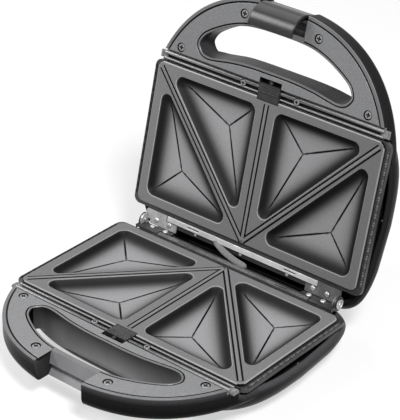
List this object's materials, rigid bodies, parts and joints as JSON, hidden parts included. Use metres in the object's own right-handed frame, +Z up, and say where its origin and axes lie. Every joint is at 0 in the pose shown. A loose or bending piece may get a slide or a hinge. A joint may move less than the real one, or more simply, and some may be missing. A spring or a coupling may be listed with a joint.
{
  "type": "sandwich maker",
  "caption": "Hinged countertop sandwich maker standing open, with two facing plates of triangular pockets, handle rings and a front latch.",
  "frame": {"origin": "middle of the underside, where the feet stand", "axes": "+Z up, -Y towards the handle of the base, the hinge axis along X"},
  "size_m": [0.2444, 0.2786, 0.2471],
  "materials": {
    "shell": "satin black moulding",
    "cover": "fine satin, dark grey",
    "plate": "non-stick coating, fine grain",
    "pan": "dark coated sheet",
    "channel": "dark coated sheet with bright edges",
    "catch": "ribbed",
    "latch": "glossy",
    "screw": "blackened steel",
    "bright_steel": "bright zinc",
    "black_steel": "black",
    "heater": "oxidised",
    "rubber": "matte",
    "ceramic": "off-white",
    "sleeve": "woven glass sleeve",
    "lens_red": "clear red",
    "lens_green": "clear green"
  },
  "bodies": {
    "base": {"base_catch_spring": "bright_steel", "base_channel": "channel", "base_channel_screw_1": "screw", "base_channel_screw_2": "screw", "base_cover_screw_1": "screw", "base_cover_screw_2": "screw", "base_cover_screw_3": "screw", "base_cover_screw_4": "screw", "base_handle_cover": "cover", "base_heater": "heater", "base_hinge_left": "bright_steel", "base_hinge_right": "bright_steel", "base_pan": "pan", "base_plate_holder": "bright_steel", "base_rear_beam": "black_steel", "base_reflector": "bright_steel", "base_shell": "shell", "cord_gland": "rubber", "foot_front_left": "rubber", "foot_front_right": "rubber", "foot_rear_left": "rubber", "foot_rear_right": "rubber", "hinge_pin_left": "bright_steel", "hinge_pin_right": "bright_steel", "terminal_block": "ceramic", "thermal_fuse": "ceramic", "thermostat": "ceramic", "wire_sleeve": "sleeve"},
    "lid": {"latch_pin": "bright_steel", "latch_spring": "bright_steel", "lid_catch_spring": "bright_steel", "lid_channel": "channel", "lid_channel_screw_1": "screw", "lid_channel_screw_2": "screw", "lid_cover_screw_1": "screw", "lid_cover_screw_2": "screw", "lid_cover_screw_3": "screw", "lid_cover_screw_4": "screw", "lid_handle_cover": "cover", "lid_heater": "heater", "lid_hinge_left": "bright_steel", "lid_hinge_right": "bright_steel", "lid_pan": "pan", "lid_plate_holder": "bright_steel", "lid_rear_beam": "black_steel", "lid_reflector": "bright_steel", "lid_shell": "shell", "power_lamp": "ceramic", "power_lens": "lens_red", "ready_lamp": "ceramic", "ready_lens": "lens_green"},
    "latch": {"latch_clip": "latch"},
    "base_catch_body": {"base_catch": "catch"},
    "lid_catch_body": {"lid_catch": "catch"},
    "base_plate_body": {"base_plate": "plate"},
    "lid_plate_body": {"lid_plate": "plate"}
  },
  "joints": [
    {"name": "lid_hinge", "type": "hinge", "parent": "base", "child": "lid", "pos_m": [0, 0.07214, 0.0413], "axis": [-1, 0, 0], "range_deg": [-103, 0], "deforming": ["wire_sleeve"]},
    {"name": "latch_pivot", "type": "hinge", "parent": "lid", "child": "latch", "pos_m": [0, 0.12399, 0.23921], "axis": [-1, 0, 0], "range_deg": [0, 25], "stiffness_Nm_per_rad": 0.05, "deforming": ["latch_spring"]},
    {"name": "base_catch_slide", "type": "slide", "parent": "base", "child": "base_catch_body", "axis": [0, -1, 0], "range_m": [0, 0.0028], "stiffness_N_per_m": 120, "deforming": ["base_catch_spring"]},
    {"name": "lid_catch_slide", "type": "slide", "parent": "lid", "child": "lid_catch_body", "axis": [0, 0.225, 0.9744], "range_m": [0, 0.0028], "stiffness_N_per_m": 120, "deforming": ["lid_catch_spring"]},
    {"name": "base_plate_lift", "type": "slide", "parent": "base", "child": "base_plate_body", "axis": [0, 0, 1], "range_m": [0, 0.015]},
    {"name": "lid_plate_lift", "type": "slide", "parent": "lid", "child": "lid_plate_body", "axis": [0, -0.9744, 0.225], "range_m": [0, 0.015]}
  ]
}
